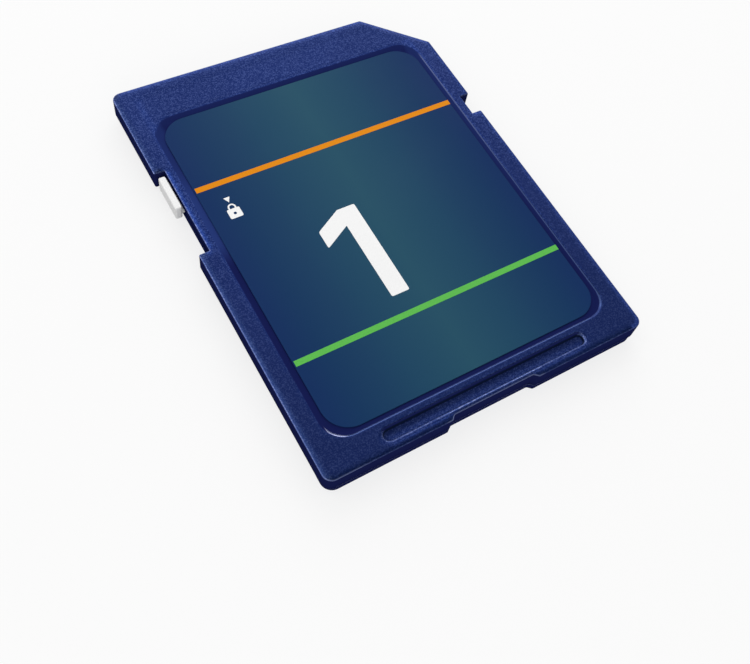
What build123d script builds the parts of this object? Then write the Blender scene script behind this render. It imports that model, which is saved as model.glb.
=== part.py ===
from build123d import *
from math import sqrt
import os

# Memory card in millimetres: the origin is the centre of the back face, +Y points to the contact end,
# +Z to the label, and the cut corner is the one at +X +Y.

# Card outline
card_width = 24.0
card_length = 32.0
corner_radius = 0.65
corner_cut = 4.0
cut_corner_radius = 0.25
top_edge_radius = 0.1

# Layers from the back face up, which add up to the thickness of the card
back_thickness = 0.7
board_thickness = 0.4
flash_height = 0.58
roof_gap = 0.07
roof_thickness = 0.2
recess_depth = 0.15

# Back plateau, which leaves a guide rail along each long edge, and the wider block that ends the rails
rail_width = 0.9
plateau_corner_radius = 0.4
plateau_chamfer = 0.2
rear_block_length = 1.5
rear_block_inset = 0.1
rear_block_corner_radius = 0.8
rear_block_radius = 0.25

# Notches in the long edges and the recess in the rear end
notch_depth = 0.75
notch_mouth_radius = 0.12
lock_notch_length = 7.05
lock_notch_to_front = 7.57
latch_notch_length = 1.74
latch_notch_to_front = 9.84
thumb_recess_length = 6.6
thumb_recess_depth = 0.28
thumb_recess_slope = 0.3
thumb_recess_radius = 0.2

# Label field and finger groove in the front cover
recess_side_margin = 1.42
recess_rear_margin = 1.98
recess_front_margin = 3.33
recess_corner_radius = 1.6
recess_slope = 0.38
recess_rim_radius = 0.6
label_thickness = 0.08
label_clearance = 0.03
label_corner_radius = 1.8
groove_length = 15.3
groove_width = 0.85
groove_rear_margin = 0.6
groove_depth = 0.3
groove_slope = 0.1
groove_rim_radius = 0.2

# Cavity between the covers
front_wall = 0.9
rear_wall = 2.4
cut_wall = 0.7
cavity_corner_radius = 0.5
locating_rib_radius = 0.6
locating_rib_from_rear = 4.5
board_clearance = 0.1

# Write-protect slider and its track
tab_length = 2.8
tab_end_gap = 0.33
tab_wall_gap = 0.14
tab_side_inset = 0.13
tab_top_inset = 0.1
tab_bottom_inset = 0.2
tab_corner_radius = 0.12
tab_edge_radius = 0.06
track_lip = 0.3
track_width = 0.4
track_floor = 0.25
track_height = 0.7
slit_height = 0.4
slider_clearance = 0.04

# Contacts, numbered from the cut corner: 9, 1 to 6, then 7 and 8 in one window
pad_thickness = 0.03
pad_length = 4.3
pad_corner_radius = 0.15
pad_front_margin = 0.3
pad_row_margin_cut_side = 0.225
pad_row_margin_lock_side = 0.1
pad_pair_width = 3.075
pad_pair_gap = 0.3
pad_clearance = 0.15
rib_width = 0.5
single_pads = [9, 1, 2, 3, 4, 5, 6]
paired_pads = [7, 8]

# Memory package across the board, with a row of leads at each end
flash_depth = 12.0
flash_edge_margin = 1.95
flash_rear_margin = 0.7
flash_standoff = 0.05
flash_edge_chamfer = 0.06
lead_count = 24
lead_width = 0.2
lead_thickness = 0.1
lead_reach = 0.8
lead_shoulder = 0.2
lead_foot = 0.4
lead_row_margin = 0.15

# Controller package and the small parts beside it
controller_size = 6.0
controller_height = 0.5
controller_gap = 1.0
controller_chamfer = 0.05
chip_part_length = 1.0
chip_part_width = 0.5
chip_part_pitch = 1.4
chip_part_gap = 0.8
chip_part_cap = 0.25
chip_part_waist = 0.03
capacitor_height = 0.5
capacitor_count = 4
resistor_height = 0.35
resistor_count = 3

# Planes and lines that the pieces share
half_width = card_width / 2
half_length = card_length / 2
board_top = back_thickness + board_thickness
cavity_top = board_top + flash_height + roof_gap
recess_floor = cavity_top + roof_thickness
card_thickness = recess_floor + recess_depth
plateau_half = half_width - rail_width
rear_block_half = half_width - rear_block_inset
rear_block_front = -half_length + rear_block_length
notch_wall = half_width - notch_depth
track_outer = notch_wall - track_lip
track_inner = track_outer - track_width
track_bottom = back_thickness + track_floor
track_top = track_bottom + track_height
slit_bottom = track_bottom + (track_height - slit_height) / 2
slit_top = slit_bottom + slit_height
lock_notch_front = half_length - lock_notch_to_front
lock_notch_rear = lock_notch_front - lock_notch_length
latch_notch_front = half_length - latch_notch_to_front
latch_notch_rear = latch_notch_front - latch_notch_length
cavity_half = track_inner
cavity_front = half_length - front_wall
cavity_rear = -half_length + rear_wall
board_half = cavity_half - board_clearance
board_front = cavity_front - board_clearance
board_rear = cavity_rear + board_clearance
cut_line = half_width + half_length - corner_cut
cavity_cut_line = cut_line - cut_wall * sqrt(2)
board_cut_line = cavity_cut_line - board_clearance * sqrt(2)
contact_pitch = (
    2 * board_half - pad_row_margin_cut_side - pad_row_margin_lock_side - pad_pair_width
) / len(single_pads)
pad_width = contact_pitch - rib_width - 2 * pad_clearance
pad_row_start = board_half - pad_row_margin_cut_side
flash_rear = board_rear + flash_rear_margin
flash_front = flash_rear + flash_depth
controller_rear = flash_front + controller_gap


def block(x_range, y_range, z_range):
    """Box between two limits along each axis."""
    size = [high - low for low, high in (x_range, y_range, z_range)]
    low = [limits[0] for limits in (x_range, y_range, z_range)]
    return Pos(*low) * Box(*size, align=(Align.MIN, Align.MIN, Align.MIN))


def rounded_face(corners, z):
    """Face at height z inside a closed path of (x, y, corner radius) points."""
    points = [(x, y) for x, y, _ in corners]
    path = FilletPolyline(*points, radius=[radius for _, _, radius in corners], close=True)
    return Pos(0, 0, z) * make_face(path)


def thumb_recess_corners():
    """Points of the recess in the rear end, from -X to +X."""
    outer = thumb_recess_length / 2
    inner = outer - thumb_recess_slope
    rear = -half_length
    return [
        (-outer, rear, thumb_recess_radius),
        (-inner, rear + thumb_recess_depth, thumb_recess_radius),
        (inner, rear + thumb_recess_depth, thumb_recess_radius),
        (outer, rear, thumb_recess_radius),
    ]


def notch_corners(side, first_y, last_y):
    """Points of a notch in the long edge at x = side * half_width, in the order in which they are passed."""
    return [
        (side * half_width, first_y, notch_mouth_radius),
        (side * notch_wall, first_y, 0),
        (side * notch_wall, last_y, 0),
        (side * half_width, last_y, notch_mouth_radius),
    ]


def card_face(z):
    """Outline of the front cover, with its cut corner, notches and rear recess."""
    corners = [(-half_width, -half_length, corner_radius)]
    corners += thumb_recess_corners()
    corners += [(half_width, -half_length, corner_radius)]
    corners += notch_corners(1, latch_notch_rear, latch_notch_front)
    corners += [
        (half_width, cut_line - half_width, cut_corner_radius),
        (cut_line - half_length, half_length, cut_corner_radius),
        (-half_width, half_length, corner_radius),
    ]
    corners += notch_corners(-1, lock_notch_front, lock_notch_rear)
    return rounded_face(corners, z)


def plateau_face(z):
    """Outline of the back cover, narrower than the card by a rail on each side up to its rear block."""
    corners = [(-rear_block_half, -half_length, rear_block_corner_radius)]
    corners += thumb_recess_corners()
    corners += [
        (rear_block_half, -half_length, rear_block_corner_radius),
        (rear_block_half, rear_block_front, rear_block_radius),
        (plateau_half, rear_block_front, rear_block_radius),
        (plateau_half, cut_line - plateau_half, cut_corner_radius),
        (cut_line - half_length, half_length, cut_corner_radius),
        (-plateau_half, half_length, plateau_corner_radius),
        (-plateau_half, rear_block_front, rear_block_radius),
        (-rear_block_half, rear_block_front, rear_block_radius),
    ]
    return rounded_face(corners, z)


def cavity_face(z):
    """Outline of the space for the board, with a locating rib standing in from each side."""
    corners = [
        (-cavity_half, cavity_rear, cavity_corner_radius),
        (cavity_half, cavity_rear, cavity_corner_radius),
        (cavity_half, cavity_cut_line - cavity_half, cavity_corner_radius),
        (cavity_cut_line - cavity_front, cavity_front, cavity_corner_radius),
        (-cavity_half, cavity_front, cavity_corner_radius),
    ]
    ribs = [
        Pos(side * cavity_half, cavity_rear + locating_rib_from_rear, z) * Circle(locating_rib_radius)
        for side in (-1, 1)
    ]
    return rounded_face(corners, z) - ribs


def recess_face(inset, radius, z):
    """Outline of the label field, drawn in by an inset, with a corner radius of its own."""
    side = half_width - recess_side_margin - inset
    rear = -half_length + recess_rear_margin + inset
    front = half_length - recess_front_margin - inset
    corners = [(-side, rear, radius), (side, rear, radius), (side, front, radius), (-side, front, radius)]
    return rounded_face(corners, z)


def groove_face(inset, z):
    """Outline of the finger groove, drawn in by an inset."""
    centre = -half_length + groove_rear_margin + groove_width / 2
    return Pos(0, centre, z) * SlotOverall(groove_length - 2 * inset, groove_width - 2 * inset)


def rearmost_rim(cover):
    """Edges of the opening in the top face that lies nearest the rear end."""
    top = cover.faces().sort_by(Axis.Z)[-1]
    return top.inner_wires().sort_by(Axis.Y)[0].edges()


def front_cover():
    """Upper shell: label field, finger groove, notches, board cavity and the upper half of the track."""
    cover = extrude(card_face(back_thickness), card_thickness - back_thickness)
    cover = fillet(cover.faces().sort_by(Axis.Z)[-1].edges(), top_edge_radius)

    field_floor = recess_face(recess_slope, recess_corner_radius - recess_slope, recess_floor)
    field_mouth = recess_face(0, recess_corner_radius, card_thickness)
    cover -= loft([field_floor, field_mouth], ruled=True)
    cover = fillet(rearmost_rim(cover), recess_rim_radius)

    groove_floor = card_thickness - groove_depth
    cover -= loft([groove_face(groove_slope, groove_floor), groove_face(0, card_thickness)], ruled=True)
    cover = fillet(rearmost_rim(cover), groove_rim_radius)

    cover -= extrude(cavity_face(back_thickness), cavity_top - back_thickness)
    lock_notch = (lock_notch_rear, lock_notch_front)
    cover -= block((-track_outer, -track_inner), lock_notch, (back_thickness, track_top))
    cover -= block((-notch_wall, -track_outer), lock_notch, (back_thickness, slit_top))
    return cover


def back_cover():
    """Lower shell: windows open at the contact end, ribs between them and the lower half of the track."""
    cover = extrude(plateau_face(0), back_thickness)
    cover = chamfer(cover.faces().sort_by(Axis.Z)[0].edges(), plateau_chamfer)
    for left, right, rear in contact_windows():
        cover -= block((left, right), (rear, half_length + corner_cut), (0, back_thickness))
    lock_notch = (lock_notch_rear, lock_notch_front)
    cover += block((-notch_wall, -track_inner), lock_notch, (back_thickness, track_bottom))
    cover += block((-notch_wall, -track_outer), lock_notch, (track_bottom, slit_bottom))
    return cover


def write_protect_tab():
    """Slider: a rounded finger piece, a neck through the slit and a head behind the lips of the track."""
    front = lock_notch_front - tab_end_gap
    length = (front - tab_length, front)
    inner_face = notch_wall + tab_wall_gap
    finger = block(
        (-half_width + tab_side_inset, -inner_face),
        length,
        (back_thickness + tab_bottom_inset, card_thickness - tab_top_inset),
    )
    finger = fillet(finger.edges().filter_by(Axis.Z), tab_corner_radius)
    finger = fillet(finger.faces().sort_by(Axis.Z)[-1].edges(), tab_edge_radius)
    body = (front - tab_length + tab_corner_radius, front - tab_corner_radius)
    head_outer = track_outer - slider_clearance
    neck = block(
        (-inner_face, -head_outer), body, (slit_bottom + slider_clearance, slit_top - slider_clearance)
    )
    head = block(
        (-head_outer, -track_inner - slider_clearance),
        body,
        (track_bottom + slider_clearance, track_top - slider_clearance),
    )
    return finger + neck + head


def front_label():
    """Printed film on the floor of the label field."""
    outline = recess_face(recess_slope + label_clearance, label_corner_radius, recess_floor)
    return extrude(outline, label_thickness)


def circuit_board():
    """Board that fills the cavity and is notched round the locating ribs."""
    outline = offset(cavity_face(back_thickness), -board_clearance, kind=Kind.INTERSECTION)
    return extrude(outline, board_thickness)


def pad_limits(number):
    """Limits of a contact in x and y: (left, right, rear, front)."""
    if number in single_pads:
        right = pad_row_start - single_pads.index(number) * contact_pitch
        left = right - pad_width
    else:
        width = (pad_pair_width - pad_pair_gap) / len(paired_pads)
        pair_right = pad_row_start - len(single_pads) * contact_pitch
        right = pair_right - paired_pads.index(number) * (width + pad_pair_gap)
        left = right - width
    front = min(board_front, board_cut_line - right) - pad_front_margin
    return left, right, front - pad_length, front


def contact_windows():
    """Windows as (left, right, rear), one round each single contact and one round the pair."""
    windows = []
    for first, last in [(number, number) for number in single_pads] + [tuple(paired_pads)]:
        left = pad_limits(last)[0] - pad_clearance
        _, right, rear, _ = pad_limits(first)
        windows.append((left, right + pad_clearance, rear - pad_clearance))
    return windows


def contact_pad(number):
    """Plated contact under the board."""
    left, right, rear, front = pad_limits(number)
    corners = [(left, rear), (right, rear), (right, front), (left, front)]
    outline = rounded_face([(x, y, pad_corner_radius) for x, y in corners], back_thickness - pad_thickness)
    return extrude(outline, pad_thickness)


def flash_body_half():
    """Half the length of the memory package without its leads."""
    return board_half - flash_edge_margin - lead_reach


def flash_memory_chip():
    """Moulded body of the memory package."""
    half = flash_body_half()
    layers = (board_top + flash_standoff, board_top + flash_height)
    body = block((-half, half), (flash_rear, flash_front), layers)
    return chamfer(body.edges().group_by(Axis.Z)[-1], flash_edge_chamfer)


def flash_lead(side, y):
    """Bent lead that leaves the body at mid height and stands on the board with its foot."""
    start = flash_body_half()
    tip = start + lead_reach
    mid = board_top + (flash_standoff + flash_height) / 2
    heel = tip - lead_foot
    profile = Polyline(
        (side * start, mid + lead_thickness / 2),
        (side * (start + lead_shoulder), mid + lead_thickness / 2),
        (side * (heel + lead_thickness / 2), board_top + lead_thickness),
        (side * tip, board_top + lead_thickness),
        (side * tip, board_top),
        (side * (heel - lead_thickness / 2), board_top),
        (side * (start + lead_shoulder - lead_thickness), mid - lead_thickness / 2),
        (side * start, mid - lead_thickness / 2),
        close=True,
    )
    face = Plane.XZ * make_face(profile)
    return Pos(0, y, 0) * extrude(face, lead_width / 2, both=True)


def flash_chip_leads():
    """Both rows of leads as a group of separate solids."""
    first = flash_rear + lead_row_margin + lead_width / 2
    pitch = (flash_depth - 2 * lead_row_margin - lead_width) / (lead_count - 1)
    return Compound(
        children=[flash_lead(side, first + index * pitch) for side in (-1, 1) for index in range(lead_count)]
    )


def controller_chip():
    """Flat square package between the memory and the contacts."""
    half = controller_size / 2
    depth = (controller_rear, controller_rear + controller_size)
    body = block((-half, half), depth, (board_top, board_top + controller_height))
    return chamfer(body.edges().group_by(Axis.Z)[-1], controller_chamfer)


def chip_part(side, index, height):
    """Small ceramic part with a metal cap at each end, in a column beside the controller."""
    inner = controller_size / 2 + chip_part_gap
    x_limits = sorted((side * inner, side * (inner + chip_part_length)))
    rear = controller_rear + index * chip_part_pitch
    front = rear + chip_part_width
    body = block(
        x_limits, (rear + chip_part_waist, front - chip_part_waist), (board_top, board_top + height)
    )
    for start in (x_limits[0], x_limits[1] - chip_part_cap):
        cap_top = board_top + height + chip_part_waist
        body += block((start, start + chip_part_cap), (rear, front), (board_top, cap_top))
    return body


pieces = {
    "front_cover": front_cover(),
    "back_cover": back_cover(),
    "write_protect_tab": write_protect_tab(),
    "front_label": front_label(),
    "circuit_board": circuit_board(),
    "flash_memory_chip": flash_memory_chip(),
    "flash_chip_leads": flash_chip_leads(),
    "controller_chip": controller_chip(),
}
for number in sorted(single_pads + paired_pads):
    pieces[f"contact_pad_{number}"] = contact_pad(number)
for index in range(capacitor_count):
    pieces[f"capacitor_{index + 1}"] = chip_part(1, index, capacitor_height)
for index in range(resistor_count):
    pieces[f"resistor_{index + 1}"] = chip_part(-1, index, resistor_height)

os.makedirs("parts", exist_ok=True)
for name, piece in pieces.items():
    export_step(piece, f"parts/{name}.step")
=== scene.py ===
"""Looks of a memory card.

The script dresses the fixed frame of the card: finishes for the moulded covers, the write-protect slider,
the label film, the contacts and the parts inside, printed marks on the label, and the studio around them.
Sizes are in millimetres in the card's own frame: +Y points to the contact end and +Z to the label.
"""

import logging
from collections.abc import Callable, Iterable
from dataclasses import dataclass, field
from enum import Enum
from functools import partial, reduce
from math import pi, radians

import bmesh
import bpy
from bpy.types import Material, Node, NodeOutputs, NodeSocket, NodeTree, Object
from mathutils import Color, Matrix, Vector

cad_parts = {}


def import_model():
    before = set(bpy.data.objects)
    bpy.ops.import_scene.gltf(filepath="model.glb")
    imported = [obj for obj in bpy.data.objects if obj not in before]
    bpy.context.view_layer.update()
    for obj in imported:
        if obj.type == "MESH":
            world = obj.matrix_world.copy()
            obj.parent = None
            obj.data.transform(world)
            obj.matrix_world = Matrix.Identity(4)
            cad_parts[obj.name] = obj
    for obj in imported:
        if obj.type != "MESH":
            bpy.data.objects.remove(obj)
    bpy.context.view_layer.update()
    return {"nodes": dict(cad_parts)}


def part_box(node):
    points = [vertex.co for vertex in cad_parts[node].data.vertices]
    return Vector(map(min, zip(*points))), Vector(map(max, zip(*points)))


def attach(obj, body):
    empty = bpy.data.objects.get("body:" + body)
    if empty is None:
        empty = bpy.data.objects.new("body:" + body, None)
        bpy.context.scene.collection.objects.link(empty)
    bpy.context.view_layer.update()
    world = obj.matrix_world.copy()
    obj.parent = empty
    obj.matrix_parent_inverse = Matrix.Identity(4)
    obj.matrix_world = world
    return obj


LOG = logging.getLogger("memory_card")
MM = 0.001

Rgb = tuple[int, int, int]
Span = tuple[float, float]
Point = tuple[float, float, float]
Rgba = tuple[float, float, float, float]
Value = NodeSocket | float | tuple[float, ...]

WHITE: Rgba = (1.0, 1.0, 1.0, 1.0)
UNIT: Span = (0.0, 1.0)
# Heights that most of a relief lies between.
RELIEF: Span = (0.3, 0.7)
# Distance at which corners are merged.
SAME_PLACE = 0.0001


class Body(Enum):
    """Body of the card that the printed marks ride on."""

    CARD = "card"


class Slot(Enum):
    """Name of the label film's material slot. Nothing in this script uses it."""

    LABEL = "label_film"


class Effect(Enum):
    """Shader effects that several finishes share, by the method that builds each."""

    GRAIN = "moulded_grain"
    EDGES = "soft_edges"
    HANDLING = "handling_marks"


class Part(Enum):
    """Parts of a mesh that can be picked in edit mode."""

    FACES = "faces"
    EDGES = "edges"
    CORNERS = "verts"


def linear(colour: Rgb) -> Rgba:
    """Linear colour, with full alpha, for a display colour with channels from 0 to 255."""
    shares = Color([channel / 255 for channel in colour])
    return *shares.from_srgb_to_scene_linear(), 1.0


def metres(point: Iterable[float]) -> Vector:
    """Point in metres from millimetres."""
    return Vector(point) * MM


def per_mm(size: float) -> float:
    """Texture scale at which a feature has a size in millimetres."""
    return 1 / (size * MM)


@dataclass
class NodeBench:
    """Adds, sets and links the nodes of one shader tree."""

    tree: NodeTree

    def feed(self, socket: NodeSocket, value: Value) -> None:
        """Links an output to a socket, or sets the socket to a constant.

        Args:
            socket: Input of a node.
            value: Output or constant.
        """
        if isinstance(value, NodeSocket):
            self.tree.links.new(value, socket)
        else:
            socket.default_value = value

    def node(self, kind: str, inputs: dict[str | int, Value] | None = None, **settings: object) -> Node:
        """Adds a node.

        Args:
            kind: Node type, without its ShaderNode prefix.
            inputs: Constant or output for each socket, by name or number.
            settings: Properties of the node itself.

        Returns:
            The new node.
        """
        node = self.tree.nodes.new(f"ShaderNode{kind}")
        for name, setting in settings.items():
            setattr(node, name, setting)
        for socket, value in (inputs or {}).items():
            self.feed(node.inputs[socket], value)
        return node

    def math(self, operation: str, *values: Value) -> NodeSocket:
        """Result of a math node."""
        return self.node("Math", dict(enumerate(values)), operation=operation).outputs[0]

    def mix(self, share: Value, first: Value, second: Value, blend: str = "MIX") -> NodeSocket:
        """Colour between two colours."""
        node = self.node("Mix", {0: share, 6: first, 7: second}, data_type="RGBA", blend_type=blend)
        return node.outputs[2]

    def remap(self, value: Value, span: Span, to: Span = UNIT) -> NodeSocket:
        """Value eased from one range to another.

        Args:
            value: Value to change.
            span: Range that it comes from.
            to: Range that it goes to.

        Returns:
            The changed value.
        """
        ends = dict(zip(("From Min", "From Max", "To Min", "To Max"), (*span, *to)))
        return self.node("MapRange", {"Value": value, **ends}, interpolation_type="SMOOTHSTEP").outputs[0]

    def between(self, value: Value, limits: Span) -> NodeSocket:
        """Mask of a length that lies between two limits in millimetres."""
        above = self.math("GREATER_THAN", value, limits[0] * MM)
        return self.both(above, self.math("LESS_THAN", value, limits[1] * MM))

    def fade(self, value: Value, limits: Span, to: Span = UNIT) -> NodeSocket:
        """Value eased over a length between two limits in millimetres."""
        return self.remap(value, (limits[0] * MM, limits[1] * MM), to)

    def blend(self, share: Value, first: Value, second: Value) -> NodeSocket:
        """Value between two values."""
        return self.node("Mix", {0: share, 2: first, 3: second}).outputs[0]

    def both(self, *masks: Value) -> NodeSocket:
        """Mask of the places that all the masks share."""
        return reduce(partial(self.math, "MULTIPLY"), masks)

    def other(self, mask: Value) -> NodeSocket:
        """Mask of the places that a mask leaves out."""
        return self.math("SUBTRACT", 1.0, mask)

    def in_box(self, *limits: Span) -> NodeSocket:
        """Mask of the places between limits in x, y and z, in millimetres."""
        return self.both(*map(self.between, self.split(self.place()), limits))

    def place(self) -> NodeSocket:
        """Place on the object, in its own frame."""
        return self.node("TexCoord").outputs["Object"]

    def split(self, vector: Value) -> list[NodeSocket]:
        """The x, y and z of a vector."""
        return list(self.node("SeparateXYZ", {0: vector}).outputs)

    def across(self) -> NodeSocket:
        """Distance from the card's middle plane, to the left or right."""
        return self.math("ABSOLUTE", self.split(self.place())[0])

    def noise(self, vector: Value, scale: Value, detail: float) -> NodeSocket:
        """Noise from 0 to 1."""
        return self.node("TexNoise", {"Vector": vector, "Scale": scale, "Detail": detail}).outputs[0]

    def bump(self, depth: float, height: Value, normal: Value | None = None) -> NodeSocket:
        """Normal over a relief.

        Args:
            depth: Depth of the relief in millimetres.
            height: Height of the relief, from 0 to 1.
            normal: Normal without the relief, unless it is the mesh's own.

        Returns:
            The normal.
        """
        inputs = {"Distance": depth * MM, "Height": height}
        if normal is not None:
            inputs["Normal"] = normal
        return self.node("Bump", inputs).outputs[0]

    def ramp(self, share: Value, stops: dict[float, Rgb]) -> NodeSocket:
        """Colour along a ramp.

        Args:
            share: Place along the ramp, from 0 to 1.
            stops: Colour at each place.

        Returns:
            The colour.
        """
        node = self.node("ValToRGB", {"Fac": share})
        elements = node.color_ramp.elements
        while len(elements) < len(stops):
            elements.new(1.0)
        for element, (position, colour) in zip(elements, sorted(stops.items())):
            element.position = position
            element.color = linear(colour)
        return node.outputs[0]


@dataclass
class EffectShelf:
    """Shader node groups, each built when it is first asked for."""

    made: dict[Effect, NodeTree] = field(default_factory=dict)
    coarse_scale: float = 0.37
    coarse_share: float = 0.25
    fleck_span: Span = (0.5, 0.68)
    pit_span: Span = (0.5, 0.32)
    grain_detail: float = 1.0
    smudge_detail: float = 4.0
    edge_samples: int = 8

    def use(self, bench: NodeBench, effect: Effect, **inputs: Value) -> Node:
        """Places an effect in a material.

        Args:
            bench: Bench of the material.
            effect: Effect to place.
            inputs: Values of the group's inputs.

        Returns:
            The group node.
        """
        if effect not in self.made:
            self.made[effect] = getattr(self, effect.value)()
        return bench.node("Group", inputs, node_tree=self.made[effect])

    @staticmethod
    def group(effect: Effect, inputs: dict[str, float], *outputs: str) -> tuple[NodeBench, Node, Node]:
        """Starts a node group.

        Args:
            effect: Effect that the group makes.
            inputs: Its number inputs and their values when they aren't set.
            outputs: Names of its outputs, which are numbers, apart from a normal.

        Returns:
            Bench of the group, its input node and its output node.
        """
        tree = bpy.data.node_groups.new(effect.value, "ShaderNodeTree")
        for name, value in inputs.items():
            socket = tree.interface.new_socket(name=name, in_out="INPUT", socket_type="NodeSocketFloat")
            socket.default_value = value
        for name in outputs:
            kind = "NodeSocketVector" if name == "Normal" else "NodeSocketFloat"
            tree.interface.new_socket(name=name, in_out="OUTPUT", socket_type=kind)
        return NodeBench(tree), tree.nodes.new("NodeGroupInput"), tree.nodes.new("NodeGroupOutput")

    def moulded_grain(self) -> NodeTree:
        """Group for the fine grain of an etched mould: its flecks, pits and height.

        Returns:
            The group.
        """
        bench, given, result = self.group(Effect.GRAIN, {"Scale": 1.0}, "Fleck", "Pit", "Height")
        scale = given.outputs["Scale"]
        place = bench.place()
        fine = bench.noise(place, scale, self.grain_detail)
        coarse = bench.noise(place, bench.math("MULTIPLY", scale, self.coarse_scale), self.grain_detail)
        height = bench.blend(self.coarse_share, fine, coarse)
        bench.feed(result.inputs["Fleck"], bench.remap(height, self.fleck_span))
        bench.feed(result.inputs["Pit"], bench.remap(height, self.pit_span))
        bench.feed(result.inputs["Height"], height)
        return bench.tree

    def soft_edges(self) -> NodeTree:
        """Group for rounded edges: a softened normal, steeper if asked, and how far it stands upright.

        Returns:
            The group.
        """
        bench, given, result = self.group(
            Effect.EDGES, {"Radius": 0.0, "Steepness": 1.0}, "Normal", "Upright"
        )
        radius, steepness = given.outputs[:2]
        soft = bench.node("Bevel", {"Radius": radius}, samples=self.edge_samples).outputs[0]
        aside = bench.node("CombineXYZ", {0: steepness, 1: steepness, 2: 1.0}).outputs[0]
        steep = bench.node("VectorMath", {0: soft, 1: aside}, operation="MULTIPLY").outputs[0]
        normal = bench.node("VectorMath", {0: steep}, operation="NORMALIZE").outputs[0]
        bench.feed(result.inputs["Normal"], normal)
        bench.feed(result.inputs["Upright"], bench.math("ABSOLUTE", bench.split(soft)[2]))
        return bench.tree

    def handling_marks(self) -> NodeTree:
        """Group for the faint uneven gloss of a thing that has been held.

        Returns:
            The group.
        """
        bench, given, result = self.group(Effect.HANDLING, {"Scale": 1.0}, "Smudge")
        cloud = bench.noise(bench.place(), given.outputs["Scale"], self.smudge_detail)
        bench.feed(result.inputs["Smudge"], bench.remap(cloud, RELIEF))
        return bench.tree


SHELF = EffectShelf()


class MaterialBench(NodeBench):
    """Bench of a material with one surface shader."""

    def __init__(self, name: str) -> None:
        """Starts the material.

        Args:
            name: Name of the material.
        """
        self.material = bpy.data.materials.new(name)
        self.material.use_nodes = True
        super().__init__(self.material.node_tree)
        self.surface = self.tree.nodes["Principled BSDF"]

    def grain(self, size: float) -> NodeOutputs:
        """Flecks, pits and height of a grain of a size in millimetres."""
        return SHELF.use(self, Effect.GRAIN, Scale=per_mm(size)).outputs

    def edges(self, radius: float, steepness: float = 1.0) -> NodeOutputs:
        """Normal and uprightness of edges with a radius in millimetres."""
        return SHELF.use(self, Effect.EDGES, Radius=radius * MM, Steepness=steepness).outputs

    def smudge(self, size: float) -> NodeSocket:
        """Handling marks of a size in millimetres."""
        return SHELF.use(self, Effect.HANDLING, Scale=per_mm(size)).outputs[0]

    def finish(self, **inputs: Value) -> Material:
        """Sets sockets of the surface shader and hands over the material.

        Args:
            inputs: Value of each socket, named with underscores for spaces.

        Returns:
            The material.
        """
        for name, value in inputs.items():
            self.feed(self.surface.inputs[name.replace("_", " ")], value)
        return self.material


@dataclass(frozen=True)
class ShellZones:
    """Masks of the parts of a moulded shell, and of the places where light and shade are painted on it."""

    inside: NodeSocket
    level: NodeSocket
    calm: NodeSocket
    rolled: NodeSocket
    left: NodeSocket
    right: NodeSocket
    sunk: NodeSocket
    lit: NodeSocket
    groove: NodeSocket
    edge: NodeSocket
    rim: NodeSocket
    highlight_edge: NodeSocket
    highlight_rim: NodeSocket


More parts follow.
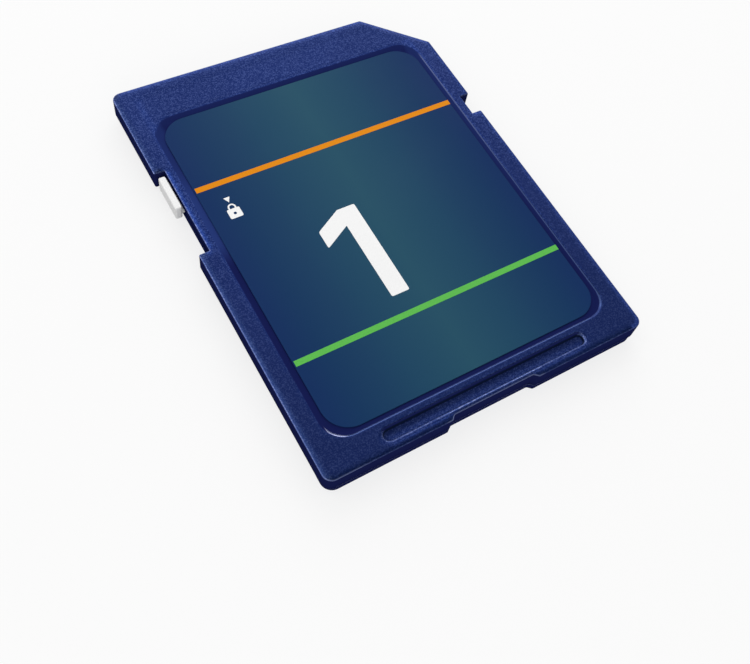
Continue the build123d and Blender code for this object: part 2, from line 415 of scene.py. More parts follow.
@dataclass(frozen=True)
class ShellFinish:
    """Blue pearl plastic: grain on level faces, smooth walls and slopes, and a metallic sheen along edges,
    with painted shade on walls, slopes and groove, and painted light and highlights on slopes, edges and
    rims.

    The spans of the field, the groove and the inner walls are limits. Other spans along an axis run from
    where an effect starts to where it is full.
    """

    name: str = "blue_shell_plastic"
    face: Rgb = (36, 51, 104)
    # Wall tone: smooth and without grain, and darker than the face by painted shade.
    wall: Rgb = (25, 31, 78)
    # Slope tones: painted shade darkens the label recess's slopes, and painted light brightens them in
    # places.
    slope: Rgb = (24, 31, 82)
    lit_slope: Rgb = (40, 58, 119)
    # Painted shade: a darker tone for the inside of the finger groove.
    groove_wall: Rgb = (16, 27, 56)
    # Roll tones: lighter blue metallic bands along the rolled edges, partly a real reflection and partly a
    # painted sheen, greyer on the left and brighter on the right.
    roll: Rgb = (44, 70, 146)
    left_roll: Rgb = (50, 68, 120)
    right_roll: Rgb = (57, 81, 160)
    # Edge line: lighter than the face and metallic, so partly a real reflection and partly a painted
    # highlight along the top edges.
    line: Rgb = (88, 104, 158)
    # Painted highlight: a lighter edge line near the rear left corner and along the thumb recess's lip.
    highlight_line: Rgb = (116, 130, 182)
    # Rim sheen: a metallic tint that really reflects the studio, laid only on the right and rear rims, so
    # it is partly a painted highlight.
    sheen: Rgb = (62, 78, 126)
    # Painted glint: the rim's sheen colour at its rear left corner, also mixed in partly towards the
    # contact end.
    glint_sheen: Rgb = (174, 181, 221)
    face_pearl: float = 0.35
    roll_pearl: float = 0.9
    line_pearl: float = 0.72
    rim_pearl: float = 0.85
    roughness: Span = (0.36, 0.44)
    rim_roughness: float = 0.2
    rim_steepness: float = 3.1
    grain_size: float = 0.085
    grain_depth: float = 0.006
    fleck_span: Span = (0.4, 0.74)
    pit_shade: Rgba = (0.53, 0.64, 0.79, 1.0)
    fleck_shade: Rgba = (2.63, 2.24, 1.69, 1.0)
    calm_y: Span = (3.0, -5.0)
    calm_share: float = 0.38
    smudge_size: float = 6.0
    line_radius: float = 0.06
    roll_radius: float = 0.8
    level_upright: Span = (0.45, 0.8)
    turned_upright: tuple[Span, Span] = ((0.3, 0.6), (0.99, 0.93))
    rim_upright: tuple[Span, Span] = ((0.957, 0.967), (0.993, 0.986))
    rolled_upright: Span = (0.995, 0.9)
    field_x: Span = (-10.75, 10.75)
    field_y: Span = (-14.6, 12.85)
    field_z: Span = (1.7, 2.2)
    groove_x: Span = (-7.85, 7.85)
    groove_y: Span = (-15.62, -14.35)
    groove_z: Span = (1.7, 1.95)
    # Level faces between these heights, such as the slider's track under the lip, take the wall's painted
    # shade.
    inner_z: Span = (0.75, 1.7)
    # Spans where the roll's painted sheen takes its left and right tones.
    left_x: Span = (-11.3, -11.6)
    right_x: Span = (10.9, 11.2)
    left_rim_x: Span = (-10.38, -10.5)
    far_rim_y: Span = (10.7, 11.4)
    # The rim's sheen is painted partly lighter along this span towards the contact end.
    bright_rim_y: Span = (-4.0, 9.0)
    bright_rim_share: float = 0.12
    # Spans and shares of the painted light on the slopes: their sides, the left's middle, the right and the
    # contact end.
    side_slope_x: Span = (9.6, 10.1)
    left_lit_y: Span = (-0.5, 2.0)
    left_dim_y: Span = (5.0, 9.0)
    left_dim_share: float = 0.52
    right_lit_y: Span = (-12.0, 9.0)
    right_lit_share: float = 0.46
    far_lit_y: Span = (11.8, 12.3)
    far_lit_share: float = 0.18
    # The painted edge line is dimmed along the rear edge and at the groove's left end.
    near_line_y: Span = (-15.2, -15.5)
    near_line_share: float = 0.45
    thumb_x: Span = (3.5, 3.9)
    groove_end_x: Span = (-6.8, -7.2)
    groove_end_y: Span = (-15.3, -15.1)
    groove_end_share: float = 0.3
    # Spans of the painted edge highlight near the rear left corner, across and along the card.
    highlight_corner_x: Span = (-8.0, -10.8)
    highlight_line_y: Span = (-15.52, -15.62)
    # Middle and reach of the painted glint on the rim's rear left corner.
    glint_place: Point = (-10.3, -13.35, 2.09)
    glint_reach: Span = (1.15, 0.55)
    # Place, reach and share where the rim's highlight is painted dimmer, near the rear right corner.
    dim_rim_place: Point = (9.46, -13.89, 2.09)
    dim_rim_reach: Span = (0.9, 0.4)
    dim_rim_share: float = 0.45
    top: float = 2.1
    # Drops below the top at which the recess's painted shade starts, sooner on the left rim.
    sunk_drop: float = 0.02
    left_sunk_drop: float = 0.005
    rim_drop: float = 0.05

    def zones(self, bench: NodeBench, upright: NodeSocket, rounded: NodeSocket) -> ShellZones:
        """Tells the parts of the shell apart by their place and slant, and marks where light and shade are
        painted on them.

        Args:
            bench: Bench of the material.
            upright: How far the surface stands up from the card's plane.
            rounded: The same where edges are widely rounded.

        Returns:
            The masks.
        """
        place = bench.place()
        x, y, height = bench.split(place)
        aside = bench.math("ABSOLUTE", x)
        inside = bench.in_box(self.field_x, self.field_y, self.field_z)
        groove = bench.in_box(self.groove_x, self.groove_y, self.field_z)
        deep = bench.in_box(self.groove_x, self.groove_y, self.groove_z)
        left_rim = bench.fade(x, self.left_rim_x)
        low, left_low = (
            bench.fade(height, (self.top, self.top - drop))
            for drop in (self.sunk_drop, self.left_sunk_drop)
        )
        high = bench.math("GREATER_THAN", height, (self.top - self.rim_drop) * MM)
        # Level faces between the inner heights are left out here, so they take the wall's painted shade.
        outer = bench.other(bench.between(height, self.inner_z))
        level = bench.both(bench.remap(upright, self.level_upright), outer)
        turned, slanted = (
            bench.both(*(bench.remap(upright, span) for span in spans))
            for spans in (self.turned_upright, self.rim_upright)
        )
        thumb = bench.other(bench.fade(aside, self.thumb_x))
        # Places of the painted edge highlight: the thumb recess's lip and the rear left corner.
        highlit = bench.math("MAXIMUM", thumb, bench.fade(x, self.highlight_corner_x))
        near = bench.both(bench.fade(y, self.near_line_y), bench.other(highlit))
        groove_end = bench.both(groove, bench.fade(x, self.groove_end_x), bench.fade(y, self.groove_end_y))
        # Painted shade on the edge line: dimmer along the rear edge, away from the painted highlights, and
        # at the groove's left end.
        shine = bench.both(
            bench.remap(near, UNIT, (1.0, self.near_line_share)),
            bench.remap(groove_end, UNIT, (1.0, self.groove_end_share)),
        )
        left_lit = bench.both(
            bench.fade(y, self.left_lit_y), bench.fade(y, self.left_dim_y, (1.0, self.left_dim_share))
        )
        right_lit = bench.fade(y, self.right_lit_y, (0.0, self.right_lit_share))
        side_lit = bench.blend(bench.math("LESS_THAN", x, 0.0), right_lit, left_lit)
        # Distances from the painted glint's middle and from where the rim's highlight is painted dimmer.
        glint_apart, dim_rim_apart = (
            bench.node("VectorMath", {0: place, 1: metres(spot)}, operation="DISTANCE").outputs["Value"]
            for spot in (self.glint_place, self.dim_rim_place)
        )
        # Painted dimming of the rim's highlight near the rear right corner.
        bright = bench.fade(dim_rim_apart, self.dim_rim_reach, (1.0, self.dim_rim_share))
        return ShellZones(
            inside=inside,
            level=level,
            calm=bench.both(bench.fade(y, self.calm_y, (0.0, self.calm_share)), bench.other(groove)),
            rolled=bench.both(bench.remap(rounded, self.rolled_upright), bench.other(groove)),
            left=bench.fade(x, self.left_x),
            right=bench.fade(x, self.right_x),
            # Painted shade on the label recess's slopes.
            sunk=bench.both(inside, bench.blend(left_rim, low, left_low)),
            # Painted light on parts of the slopes.
            lit=bench.math(
                "MAXIMUM",
                bench.both(side_lit, bench.fade(aside, self.side_slope_x)),
                bench.fade(y, self.far_lit_y, (0.0, self.far_lit_share)),
            ),
            # Painted shade inside the finger groove.
            groove=bench.both(groove, bench.other(level)),
            edge=bench.both(turned, bench.math("SUBTRACT", outer, inside), shine, bench.other(deep)),
            # Painted highlight placement: the rim's sheen leaves out the left rim and the rim towards the
            # contact end.
            rim=bench.both(
                slanted,
                inside,
                high,
                bright,
                bench.other(left_rim),
                bench.other(bench.fade(y, self.far_rim_y)),
            ),
            # Painted highlight on the rear edge line, near its left corner and along the thumb lip.
            highlight_edge=bench.both(
                highlit, bench.fade(y, self.highlight_line_y), bench.between(height, self.field_z)
            ),
            # Painted highlight on the rim: a glint at the rear left corner and a lighter sheen towards the
            # contact end.
            highlight_rim=bench.blend(
                bench.fade(y, self.bright_rim_y, (0.0, self.bright_rim_share)),
                bench.fade(glint_apart, self.glint_reach),
                1.0,
            ),
        )

    def make(self) -> Material:
        """Builds the material.

        Returns:
            The material.
        """
        bench = MaterialBench(self.name)
        grain = bench.grain(self.grain_size)["Height"]
        lines = bench.edges(self.line_radius)
        rolls = bench.edges(self.roll_radius)
        steep = bench.edges(self.line_radius, self.rim_steepness)
        zones = self.zones(bench, lines["Upright"], rolls["Upright"])
        shade = bench.mix(bench.remap(grain, self.fleck_span), self.pit_shade, self.fleck_shade)
        shade = bench.mix(zones.calm, shade, WHITE)
        # Painted sheen along the rolled edges, with a tone for each side.
        roll = linear(self.roll)
        for side, tone in ((zones.left, self.left_roll), (zones.right, self.right_roll)):
            roll = bench.mix(side, roll, linear(tone))
        face, roll, line = (
            bench.mix(1.0, tone, shade, "MULTIPLY") for tone in (linear(self.face), roll, linear(self.line))
        )
        # Painted highlight: the edge line turns lighter where the highlight is painted.
        line = bench.mix(zones.highlight_edge, line, linear(self.highlight_line))
        # Painted shade on the recess's slopes, with painted light in places.
        slope = bench.mix(zones.lit, linear(self.slope), linear(self.lit_slope))
        # Painted highlight: the rim's sheen turns lighter where the glint and the lighter stretch are
        # painted.
        sheen = bench.mix(zones.highlight_rim, linear(self.sheen), linear(self.glint_sheen))
        layers = (
            (zones.rolled, roll, bench.blend(zones.right, self.roll_pearl, self.face_pearl)),
            # Walls: the darker wall tone is painted shade.
            (bench.other(zones.level), linear(self.wall), 0.0),
            (zones.sunk, slope, 0.0),
            # Painted shade in the finger groove.
            (zones.groove, linear(self.groove_wall), 0.0),
            # Edge line: partly painted highlight.
            (zones.edge, line, self.line_pearl),
            (zones.rim, sheen, self.rim_pearl),
        )
        colour = face
        pearl = self.face_pearl
        for mask, layer_colour, layer_pearl in layers:
            colour = bench.mix(mask, colour, layer_colour)
            pearl = bench.blend(mask, pearl, layer_pearl)
        normal = rolls["Normal"]
        for mask, layer_normal in (
            (bench.math("MAXIMUM", zones.inside, zones.edge), lines["Normal"]),
            (zones.rim, steep["Normal"]),
        ):
            normal = bench.node("Mix", {0: mask, 4: normal, 5: layer_normal}, data_type="VECTOR").outputs[1]
        rough = bench.remap(bench.smudge(self.smudge_size), UNIT, self.roughness)
        return bench.finish(
            Base_Color=colour,
            Metallic=pearl,
            Roughness=bench.blend(zones.rim, rough, self.rim_roughness),
            Normal=bench.bump(self.grain_depth, bench.math("MULTIPLY", grain, zones.level), normal),
            Specular_IOR_Level=0.0,
        )


@dataclass(frozen=True)
class SliderFinish:
    """White moulded plastic with softly rounded edges, and painted shade on the faces that turn to -X."""

    name: str = "white_slider_plastic"
    body: Rgb = (251, 251, 251)
    shade: Rgb = (244, 244, 244)
    # Painted shade: a darker tone for the faces that turn to -X.
    side: Rgb = (237, 237, 237)
    side_facing: Span = (-0.5, -0.9)
    roughness: Span = (0.38, 0.5)
    gloss: float = 0.35
    grain_size: float = 0.08
    grain_depth: float = 0.001
    edge_radius: float = 0.06

    def make(self) -> Material:
        """Builds the material.

        Returns:
            The material.
        """
        bench = MaterialBench(self.name)
        grain = bench.grain(self.grain_size)
        facing = bench.split(bench.node("TexCoord").outputs["Normal"])[0]
        colour = bench.mix(grain["Pit"], linear(self.body), linear(self.shade))
        return bench.finish(
            # Faces that turn to -X take the darker tone: painted shade.
            Base_Color=bench.mix(bench.remap(facing, self.side_facing), colour, linear(self.side)),
            Roughness=bench.remap(grain["Height"], RELIEF, self.roughness),
            Normal=bench.bump(self.grain_depth, grain["Height"], bench.edges(self.edge_radius)["Normal"]),
            Specular_IOR_Level=self.gloss,
        )


@dataclass(frozen=True)
class LabelFinish:
    """Printed film, teal along the middle of the card and navy towards its long edges."""

    name: str = "label_print_film"
    stops: tuple[tuple[float, Rgb], ...] = (
        (0.0, (41, 84, 105)),
        (4.0, (33, 73, 102)),
        (6.0, (29, 65, 100)),
        (8.0, (24, 58, 98)),
        (9.8, (22, 51, 98)),
    )
    half_width: float = 10.17
    film_size: float = 0.35
    film_depth: float = 0.0015
    smudge_size: float = 7.0
    roughness: Span = (0.4, 0.52)
    gloss: float = 0.04

    def make(self) -> Material:
        """Builds the material.

        Returns:
            The material.
        """
        bench = MaterialBench(self.name)
        share = bench.math("DIVIDE", bench.across(), self.half_width * MM)
        return bench.finish(
            Base_Color=bench.ramp(share, {place / self.half_width: colour for place, colour in self.stops}),
            Roughness=bench.remap(bench.smudge(self.smudge_size), UNIT, self.roughness),
            Normal=bench.bump(self.film_depth, bench.grain(self.film_size)["Height"]),
            Specular_IOR_Level=self.gloss,
        )


@dataclass(frozen=True)
class InkFinish:
    """Printing ink that lies on the film, a little uneven in its cover."""

    name: str
    ink: Rgb
    thin: Rgb
    gloss: float = 0.2
    dot_size: float = 0.12
    thin_share: float = 0.5
    roughness: Span = (0.4, 0.55)

    def make(self) -> Material:
        """Builds the material.

        Returns:
            The material.
        """
        bench = MaterialBench(self.name)
        grain = bench.grain(self.dot_size)
        cover = bench.math("MULTIPLY", grain["Pit"], self.thin_share)
        return bench.finish(
            Base_Color=bench.mix(cover, linear(self.ink), linear(self.thin)),
            Roughness=bench.remap(grain["Height"], RELIEF, self.roughness),
            Specular_IOR_Level=self.gloss,
        )


@dataclass(frozen=True)
class ContactFinish:
    """Gold plating with fine wipe marks along the way that the card is pushed in."""

    name: str = "wiped_contact_gold"
    gold: Rgb = (230, 188, 104)
    dull: Rgb = (214, 170, 88)
    wipe_width: float = 0.05
    wipe_length: float = 2.4
    wipe_depth: float = 0.001
    wipe_detail: float = 3.0
    dull_span: Span = (0.45, 0.75)
    roughness: Span = (0.2, 0.34)
    smudge_size: float = 1.2
    smudge_roughness: float = 0.1
    edge_radius: float = 0.01

    def make(self) -> Material:
        """Builds the material.

        Returns:
            The material.
        """
        bench = MaterialBench(self.name)
        scale = tuple(per_mm(size) for size in (self.wipe_width, self.wipe_length, self.wipe_width))
        along = bench.node("Mapping", {"Vector": bench.place(), "Scale": scale}).outputs[0]
        wipe = bench.noise(along, 1.0, self.wipe_detail)
        rough = bench.remap(wipe, RELIEF, self.roughness)
        smudge = bench.math("MULTIPLY", bench.smudge(self.smudge_size), self.smudge_roughness)
        return bench.finish(
            Base_Color=bench.mix(bench.remap(wipe, self.dull_span), linear(self.gold), linear(self.dull)),
            Metallic=1.0,
            Roughness=bench.math("ADD", rough, smudge),
            Normal=bench.bump(self.wipe_depth, wipe, bench.edges(self.edge_radius)["Normal"]),
        )


@dataclass(frozen=True)
class BoardFinish:
    """Green solder mask over a woven laminate."""

    name: str = "green_board_laminate"
    mask: Rgb = (18, 74, 52)
    weave: Rgb = (12, 58, 42)
    thread: float = 0.4
    weave_depth: float = 0.006
    smudge_size: float = 3.0
    roughness: Span = (0.25, 0.4)

    def make(self) -> Material:
        """Builds the material.

        Returns:
            The material.
        """
        bench = MaterialBench(self.name)
        inputs = {"Vector": bench.place(), "Scale": per_mm(self.thread) / (2 * pi)}
        bands = (bench.node("TexWave", inputs, bands_direction=axis).outputs["Fac"] for axis in "XY")
        weave = bench.both(*bands)
        return bench.finish(
            Base_Color=bench.mix(weave, linear(self.mask), linear(self.weave)),
            Roughness=bench.remap(bench.smudge(self.smudge_size), UNIT, self.roughness),
            Normal=bench.bump(self.weave_depth, weave),
        )


@dataclass(frozen=True)
class PackageFinish:
    """Black moulding compound with pale filler grains."""

    name: str = "black_chip_epoxy"
    resin: Rgb = (26, 26, 28)
    filler: Rgb = (52, 52, 55)
    grain_size: float = 0.05
    grain_depth: float = 0.006
    edge_radius: float = 0.02
    roughness: Span = (0.5, 0.7)

    def make(self) -> Material:
        """Builds the material.

        Returns:
            The material.
        """
        bench = MaterialBench(self.name)
        grain = bench.grain(self.grain_size)
        return bench.finish(
            Base_Color=bench.mix(grain["Fleck"], linear(self.resin), linear(self.filler)),
            Roughness=bench.remap(grain["Height"], RELIEF, self.roughness),
            Normal=bench.bump(self.grain_depth, grain["Height"], bench.edges(self.edge_radius)["Normal"]),
        )


@dataclass(frozen=True)
class TinFinish:
    """Tin plating on bent leads, brighter where it is smooth."""

    name: str = "tinned_lead_metal"
    tin: Rgb = (196, 196, 192)
    dull: Rgb = (150, 151, 150)
    grain_size: float = 0.06
    roughness: Span = (0.28, 0.45)

    def make(self) -> Material:
        """Builds the material.

        Returns:
            The material.
        """
        bench = MaterialBench(self.name)
        grain = bench.grain(self.grain_size)
        return bench.finish(
            Base_Color=bench.mix(grain["Pit"], linear(self.tin), linear(self.dull)),
            Metallic=1.0,
            Roughness=bench.remap(grain["Height"], RELIEF, self.roughness),
        )


@dataclass(frozen=True)
class CeramicFinish:
    """Ceramic body of a small part, with tinned caps at both ends."""

    name: str
    ceramic: Rgb
    grain: Rgb
    cap: Rgb = (188, 188, 184)
    middle: float = 4.3
    cap_from_middle: float = 0.25
    grain_size: float = 0.05
    roughness: Span = (0.35, 0.55)

    def make(self) -> Material:
        """Builds the material.

        Returns:
            The material.
        """
        bench = MaterialBench(self.name)
        grain = bench.grain(self.grain_size)
        from_middle = bench.math("ABSOLUTE", bench.math("SUBTRACT", bench.across(), self.middle * MM))
        cap = bench.math("GREATER_THAN", from_middle, self.cap_from_middle * MM)
        body = bench.mix(grain["Fleck"], linear(self.ceramic), linear(self.grain))
        return bench.finish(
            Base_Color=bench.mix(cap, body, linear(self.cap)),
            Metallic=cap,
            Roughness=bench.remap(grain["Height"], RELIEF, self.roughness),
        )


def start_alone() -> None:
    """Leaves nothing selected, so that the next operator acts on the new piece alone."""
    bpy.ops.object.select_all(action="DESELECT")


def start_with(piece: Object) -> None:
    """Selects one piece alone and makes it the active one.

    Args:
        piece: Piece that the next operator acts on.
    """
    start_alone()
    piece.select_set(True)
    bpy.context.view_layer.objects.active = piece


def edit_all() -> None:
    """Opens the active piece in edit mode with all of it selected."""
    bpy.ops.object.mode_set(mode="EDIT")
    bpy.ops.mesh.select_all(action="SELECT")


def pick(part: Part, test: Callable[[Vector], bool]) -> None:
    """Selects, in edit mode, what lies where a test holds.

    Args:
        part: Kind of thing to select.
        test: Test of the middle of a face or edge, or of a corner.
    """
    modes = {Part.FACES: "FACE", Part.EDGES: "EDGE", Part.CORNERS: "VERT"}
    bpy.ops.mesh.select_mode(type=modes[part])
    bpy.ops.mesh.select_all(action="DESELECT")
    mesh = bpy.context.edit_object.data
    shape = bmesh.from_edit_mesh(mesh)
    for item in getattr(shape, part.value):
        corners = [item.co] if part is Part.CORNERS else [corner.co for corner in item.verts]
        middle = sum(corners, Vector()) / len(corners)
        item.select_set(test(middle))
    shape.select_flush_mode()
    bmesh.update_edit_mesh(mesh)


def extrude(offset: Point) -> None:
    """Extrudes what is selected by an offset in millimetres."""
    bpy.ops.mesh.extrude_region_move(TRANSFORM_OT_translate={"value": metres(offset)})


def leave_edit() -> None:
    """Closes edit mode."""
    bpy.ops.object.mode_set(mode="OBJECT")


def close_piece(name: str, material: Material) -> Object:
    """Ends the shaping of the active piece: outward faces, name, finish, body and slot.

    Args:
        name: Name of the piece.
        material: Finish of the piece.

    Returns:
        The finished piece.
    """
    edit_all()
    bpy.ops.mesh.remove_doubles(threshold=SAME_PLACE * MM)
    bpy.ops.mesh.normals_make_consistent(inside=False)
    leave_edit()
    piece = bpy.context.active_object
    piece.name = name
    piece.data.name = name
    piece.data.materials.append(material)
    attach(piece, Body.CARD.value)
    return piece


def dress(nodes: dict[str, Object], names: Iterable[str], material: Material) -> None:
    """Gives carried-over pieces their finish.

    Args:
        nodes: Pieces of the frame by name.
        names: Names of the pieces to dress.
        material: Finish to give them.
    """
    for name in names:
        for slot in nodes[name].material_slots:
            slot.material = material
        LOG.info("dressed %s in %s", name, material.name)


@dataclass
class Covers:
    """The two moulded covers."""

    names: tuple[str, ...] = ("front_cover", "back_cover")
    finish: ShellFinish = ShellFinish()

    def dress(self, nodes: dict[str, Object]) -> None:
        """Gives the covers their finish."""
        dress(nodes, self.names, self.finish.make())


@dataclass
class Slider:
    """The write-protect slider."""

    name: str = "write_protect_tab"
    finish: SliderFinish = SliderFinish()

    def dress(self, nodes: dict[str, Object]) -> None:
        """Gives the slider its finish."""
        dress(nodes, [self.name], self.finish.make())


@dataclass
class Label:
    """The label film and the marks that are printed on it."""

    name: str = "front_label"
    film: LabelFinish = LabelFinish()
    white: InkFinish = InkFinish("white_print_ink", ink=(255, 255, 255), thin=(250, 250, 250))
    orange: InkFinish = InkFinish("orange_print_ink", ink=(235, 143, 4), thin=(226, 133, 2), gloss=0.08)
    green: InkFinish = InkFinish("green_print_ink", ink=(95, 193, 80), thin=(86, 180, 72))
    ink_thickness: float = 0.01
    ink_edge: float = 0.003
    stripe_width: float = 0.42
    stripe_inset: float = 0.08
    orange_stripe_y: float = 6.08
    green_stripe_y: float = -8.3
    numeral_right: float = -0.92
    numeral_foot: float = -6.75
    numeral_head: float = 0.8
    stem_width: float = 1.33
    flag_height: float = 1.4
    flag_reach: float = 1.95
    flag_drop: float = 1.1
    numeral_corner: float = 0.12
    lock_x: float = -8.48
    lock_foot: float = 3.03
    lock_width: float = 0.9
    lock_height: float = 0.78
    lock_corner: float = 0.1
    shackle_radius: float = 0.225
    shackle_wire: float = 0.11
    shackle_leg: float = 0.12
    keyhole_radius: float = 0.11
    keyhole_from_foot: float = 0.375
    arrow_width: float = 0.45
    arrow_height: float = 0.43
    arrow_tip: float = 4.36
    arc_steps: int = 16
    corner_segments: int = 4
    edge_segments: int = 2
    slack: float = 0.001

    def surface(self) -> float:
        """Height of the film's upper face in millimetres."""
        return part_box(self.name)[1].z / MM

    def half_width(self) -> float:
        """Half the film's width in millimetres."""
        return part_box(self.name)[1].x / MM

    def dress(self, nodes: dict[str, Object]) -> None:
        """Gives the film its finish."""
        dress(nodes, [self.name], self.film.make())

    def build(self) -> list[Object]:
        """Prints the marks.

        Returns:
            The printed pieces.
        """
        white = self.white.make()
        orange = self.orange.make()
        green = self.green.make()
        marks = (
            ("orange_stripe", partial(self.stripe, self.orange_stripe_y), orange),
            ("green_stripe", partial(self.stripe, self.green_stripe_y), green),
            ("plain_numeral", self.numeral, white),
            ("lock_mark", self.padlock, white),
            ("lock_arrow", self.arrow, white),
        )
        pieces = []
        for name, shape, ink in marks:
            shape()
            pieces.append(close_piece(name, ink))
        return pieces

    def sheet(self, middle: Span, size: Span) -> None:
        """Starts a mark as a flat sheet on the film.

        Args:
            middle: Middle of the sheet in x and y.
            size: Size of the sheet in x and y.
        """
        start_alone()
        place = metres((*middle, self.surface()))
        bpy.ops.mesh.primitive_plane_add(size=1.0, location=place)
        bpy.context.active_object.scale = metres((*size, 1.0 / MM))
        bpy.ops.object.transform_apply(location=True, rotation=True, scale=True)

    def thicken(self) -> None:
        """Gives a flat mark the thickness of the ink and a soft upper edge."""
        edit_all()
        extrude((0, 0, self.ink_thickness))
        top = (self.surface() + self.ink_thickness - self.slack) * MM
        pick(Part.FACES, lambda middle: middle.z > top)
        bpy.ops.mesh.region_to_loop()
        bpy.ops.mesh.bevel(offset=self.ink_edge * MM, segments=self.edge_segments, affect="EDGES")
        leave_edit()

    def round_corners(self, radius: float) -> None:
        """Rounds the selected corners of a flat mark by a radius in millimetres."""
        bpy.ops.mesh.bevel(offset=radius * MM, segments=self.corner_segments, affect="VERTICES")

    def stripe(self, y: float) -> None:
        """Shapes a stripe across the film, from a little inside its edge on the slider's side.

        Args:
            y: Middle of the stripe.
        """
        length = 2 * self.half_width() - self.stripe_inset
        self.sheet((self.stripe_inset / 2, y), (length, self.stripe_width))
        self.thicken()

    def numeral(self) -> None:
        """Shapes a plain figure one: a stem with a slanted flag."""
        left = self.numeral_right - self.stem_width
        flag_foot = self.numeral_head - self.flag_height
        middle = (self.numeral_right - self.stem_width / 2, (self.numeral_head + self.numeral_foot) / 2)
        self.sheet(middle, (self.stem_width, self.numeral_head - self.numeral_foot))
        edit_all()
        bpy.ops.mesh.bisect(plane_co=metres((0, flag_foot, 0)), plane_no=(0, 1, 0))
        pick(Part.EDGES, lambda at: at.x < (left + self.slack) * MM and at.y > flag_foot * MM)
        extrude((-self.flag_reach, -self.flag_drop, 0))
        slack = self.slack * MM
        pick(Part.CORNERS, lambda at: abs(at.x - left * MM) > slack or at.y < flag_foot * MM - slack)
        self.round_corners(self.numeral_corner)
        leave_edit()
        self.thicken()

    def padlock(self) -> None:
        """Shapes a closed padlock beside the slider: a body with a round hole, and a bent shackle."""
        shackle = self.bent_shackle(self.lock_foot + self.lock_height)
        middle = (self.lock_x, self.lock_foot + self.lock_height / 2)
        self.sheet(middle, (self.lock_width, self.lock_height))
        edit_all()
        self.round_corners(self.lock_corner)
        leave_edit()
        self.thicken()
        body = bpy.context.active_object
        hole = (self.lock_x, self.lock_foot + self.keyhole_from_foot)
        self.cut_round_hole(body, hole, self.keyhole_radius)
        start_with(body)
        shackle.select_set(True)
        bpy.ops.object.join()

    def bent_shackle(self, head: float) -> Object:
        """Bends a strip of ink round half a turn and draws both legs down to the padlock's body.

        Args:
            head: Top of the padlock's body.

        Returns:
            The shackle.
        """
        centre_y = head + self.shackle_leg
        half = self.shackle_wire / 2
        self.sheet((self.lock_x + self.shackle_radius, centre_y), (self.shackle_wire, self.shackle_wire))
        edit_all()
        pick(Part.EDGES, lambda at: at.y > (centre_y + half - self.slack) * MM)
        bpy.ops.transform.translate(value=metres((0, -half, 0)))
        pick(Part.EDGES, lambda at: at.y < (centre_y - half + self.slack) * MM)
        bpy.ops.transform.translate(value=metres((0, half - self.shackle_leg, 0)))
        pick(Part.EDGES, lambda at: at.y > (centre_y - self.slack) * MM)
        centre = metres((self.lock_x, centre_y, self.surface()))
        bpy.ops.mesh.spin(steps=self.arc_steps, angle=-pi, center=centre, axis=(0, 0, 1))
        extrude((0, -self.shackle_leg, 0))
        leave_edit()
        self.thicken()
        return bpy.context.active_object

    def cut_round_hole(self, body: Object, middle: Span, radius: float) -> None:
        """Cuts a round hole through a mark.

        Args:
            body: Mark to cut.
            middle: Middle of the hole.
            radius: Radius of the hole.
        """
        start_alone()
        bpy.ops.mesh.primitive_cylinder_add(
            vertices=2 * self.arc_steps,
            radius=radius * MM,
            depth=4 * self.ink_thickness * MM,
            location=metres((*middle, self.surface() + self.ink_thickness)),
        )
        cutter = bpy.context.active_object
        start_with(body)
        cut = body.modifiers.new("hole", "BOOLEAN")
        cut.operation = "DIFFERENCE"
        cut.object = cutter
        bpy.ops.object.modifier_apply(modifier=cut.name)
        bpy.data.objects.remove(cutter)

    def arrow(self) -> None:
        """Shapes the arrow that points along the slider's way to the padlock."""
        middle = (self.lock_x, self.arrow_tip + self.arrow_height / 2)
        self.sheet(middle, (self.arrow_width, self.arrow_height))
        edit_all()
        pick(Part.EDGES, lambda at: at.y < (self.arrow_tip + self.slack) * MM)
        bpy.ops.mesh.merge(type="CENTER")
        leave_edit()
        self.thicken()


@dataclass
class ContactRow:
    """The nine plated contacts."""

    prefix: str = "contact_pad_"
    finish: ContactFinish = ContactFinish()

    def dress(self, nodes: dict[str, Object]) -> None:
        """Gives the contacts their finish."""
        names = sorted(name for name in nodes if name.startswith(self.prefix))
        dress(nodes, names, self.finish.make())


@dataclass
class BoardParts:
    """The board and what is soldered to it."""

    board: BoardFinish = BoardFinish()
    package: PackageFinish = PackageFinish()
    leads: TinFinish = TinFinish()
    capacitor: CeramicFinish = CeramicFinish(
        "capacitor_ceramic", ceramic=(150, 122, 88), grain=(166, 140, 106)
    )
    resistor: CeramicFinish = CeramicFinish("resistor_ceramic", ceramic=(38, 38, 42), grain=(58, 58, 62))

    def dress(self, nodes: dict[str, Object]) -> None:
        """Gives the board and its parts their finishes.

        Args:
            nodes: Pieces of the frame by name.
        """
        dress(nodes, ["circuit_board"], self.board.make())
        dress(nodes, ["flash_memory_chip", "controller_chip"], self.package.make())
        dress(nodes, ["flash_chip_leads"], self.leads.make())
        for kind, finish in (("capacitor", self.capacitor), ("resistor", self.resistor)):
            names = sorted(name for name in nodes if name.startswith(kind))
            dress(nodes, names, finish.make())


@dataclass(frozen=True)
class Softbox:
    """A square studio light that faces the middle of the card."""

    name: str
    place: Point
    size: float
    power: float
    mirrored: bool = True
    spread: bool = True

    def build(self) -> None:
        """Adds the light, which may be left out of mirrored views or seen in them alone."""
        data = bpy.data.lights.new(self.name, "AREA")
        data.shape = "SQUARE"
        data.size = self.size * MM
        data.energy = self.power
        light = bpy.data.objects.new(self.name, data)
        light.visible_glossy = self.mirrored
        light.visible_diffuse = self.spread
        light.location = metres(self.place)
        light.rotation_euler = (-light.location).to_track_quat("-Z", "Y").to_euler()
        bpy.context.scene.collection.objects.link(light)


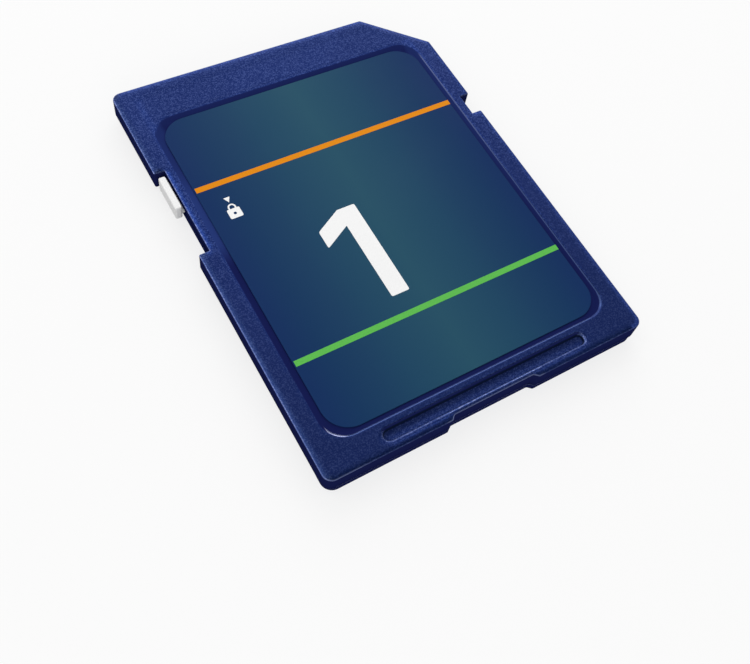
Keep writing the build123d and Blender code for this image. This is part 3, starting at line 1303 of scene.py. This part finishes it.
@dataclass(frozen=True)
class Flag:
    """A dark panel that is seen in mirrored views alone."""

    name: str
    place: Point
    size: Span
    turn: Point
    colour: Rgb = (12, 12, 14)

    def build(self) -> None:
        """Adds the panel."""
        start_alone()
        bpy.ops.mesh.primitive_plane_add(size=1.0, location=metres(self.place))
        panel = bpy.context.active_object
        panel.name = self.name
        panel.scale = metres((*self.size, 1.0 / MM))
        panel.rotation_euler = [radians(angle) for angle in self.turn]
        panel.visible_camera = False
        panel.visible_diffuse = False
        panel.visible_shadow = False
        bench = MaterialBench("dark_panel")
        material = bench.finish(Base_Color=linear(self.colour), Roughness=1.0, Specular_IOR_Level=0.0)
        panel.data.materials.append(material)


@dataclass
class Studio:
    """Pale floor, soft lights, dark panels, surroundings and the camera."""

    camera_place: Point = (-23.332, -29.901, 52.85)
    camera_turn: Point = (30.146, -8.988, -31.127)
    focal_length: float = 44.109
    sensor_width: float = 36.0
    frame_shift: Span = (-0.0627, -0.0293)
    near_limit: float = 1.0
    floor_size: float = 4000.0
    floor_drop: float = 0.02
    floor_colour: Rgb = (205, 205, 205)
    floor_white: Rgb = (250, 250, 250)
    floor_white_share: float = 0.76
    floor_roughness: float = 0.9
    surroundings: float = 0.6
    softboxes: tuple[Softbox, ...] = (
        Softbox("back_softbox", place=(70, 150, 110), size=180, power=0.16),
        Softbox("left_softbox", place=(-100, 60, 200), size=100, power=0.05, mirrored=False),
        Softbox("front_softbox", place=(-60, -200, 80), size=150, power=0.09, mirrored=False),
        Softbox("edge_softbox", place=(-200, 110, 75), size=130, power=0.09, spread=False),
    )
    flags: tuple[Flag, ...] = (
        Flag("upper_flag", place=(111, -126, 150), size=(342, 400), turn=(0, 0, 0)),
        Flag("front_flag", place=(0, -150, 60), size=(600, 160), turn=(90, 0, 0)),
        Flag("right_flag", place=(250, 60, 30), size=(340, 80), turn=(90, 0, 90)),
    )

    def build(self) -> None:
        """Sets up the whole studio."""
        bpy.context.scene.view_settings.view_transform = "Standard"
        self.floor()
        self.world()
        self.camera()
        for piece in (*self.flags, *self.softboxes):
            piece.build()

    @staticmethod
    def seen_share(bench: NodeBench) -> NodeSocket:
        """Mask of the rays in which the white background shows: direct, mirrored or through glass.

        Args:
            bench: Bench of the background's tree.

        Returns:
            The mask.
        """
        path = bench.node("LightPath").outputs
        mirrored = bench.math("MAXIMUM", path["Is Glossy Ray"], path["Is Transmission Ray"])
        return bench.math("MAXIMUM", path["Is Camera Ray"], mirrored)

    def floor(self) -> None:
        """Lays the floor, which looks white and keeps the shadow of the card."""
        start_alone()
        place = metres((0, 0, -self.floor_drop))
        bpy.ops.mesh.primitive_plane_add(size=self.floor_size * MM, location=place)
        floor = bpy.context.active_object
        floor.name = "studio_floor"
        bench = MaterialBench("pale_floor")
        seen = self.seen_share(bench)
        colour = bench.mix(seen, linear(self.floor_colour), linear(self.floor_white))
        material = bench.finish(Base_Color=colour, Roughness=self.floor_roughness, Specular_IOR_Level=0.0)
        glow = bench.node("Emission", {"Color": WHITE, "Strength": 1.0})
        share = bench.math("MULTIPLY", seen, self.floor_white_share)
        mixed = bench.node("MixShader", {0: share, 1: bench.surface.outputs[0], 2: glow.outputs[0]})
        bench.feed(bench.tree.nodes["Material Output"].inputs["Surface"], mixed.outputs[0])
        floor.data.materials.append(material)

    def world(self) -> None:
        """Lights the card evenly from all round and shows white behind it."""
        world = bpy.data.worlds.new("studio_surroundings")
        world.use_nodes = True
        bench = NodeBench(world.node_tree)
        soft = bench.tree.nodes["Background"]
        bench.feed(soft.inputs["Color"], WHITE)
        bench.feed(soft.inputs["Strength"], self.surroundings)
        white = bench.node("Background", {"Color": WHITE, "Strength": 1.0})
        inputs = {0: self.seen_share(bench), 1: soft.outputs[0], 2: white.outputs[0]}
        mixed = bench.node("MixShader", inputs)
        bench.feed(bench.tree.nodes["World Output"].inputs["Surface"], mixed.outputs[0])
        bpy.context.scene.world = world

    def camera(self) -> None:
        """Sets the camera at the photograph's viewing angle."""
        data = bpy.data.cameras.new("photo_camera")
        data.lens = self.focal_length
        data.sensor_width = self.sensor_width
        data.shift_x, data.shift_y = self.frame_shift
        data.clip_start = self.near_limit * MM
        camera = bpy.data.objects.new("photo_camera", data)
        camera.location = metres(self.camera_place)
        camera.rotation_euler = [radians(angle) for angle in self.camera_turn]
        bpy.context.scene.collection.objects.link(camera)
        bpy.context.scene.camera = camera


def main() -> None:
    """Loads the frame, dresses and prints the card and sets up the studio."""
    logging.basicConfig(level=logging.INFO, format="%(name)s: %(message)s")
    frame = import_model()
    nodes = frame["nodes"]
    Covers().dress(nodes)
    Slider().dress(nodes)
    label = Label()
    label.dress(nodes)
    for piece in label.build():
        LOG.info("printed %s with %d faces", piece.name, len(piece.data.polygons))
    ContactRow().dress(nodes)
    BoardParts().dress(nodes)
    Studio().build()


if __name__ == "__main__":
    main()
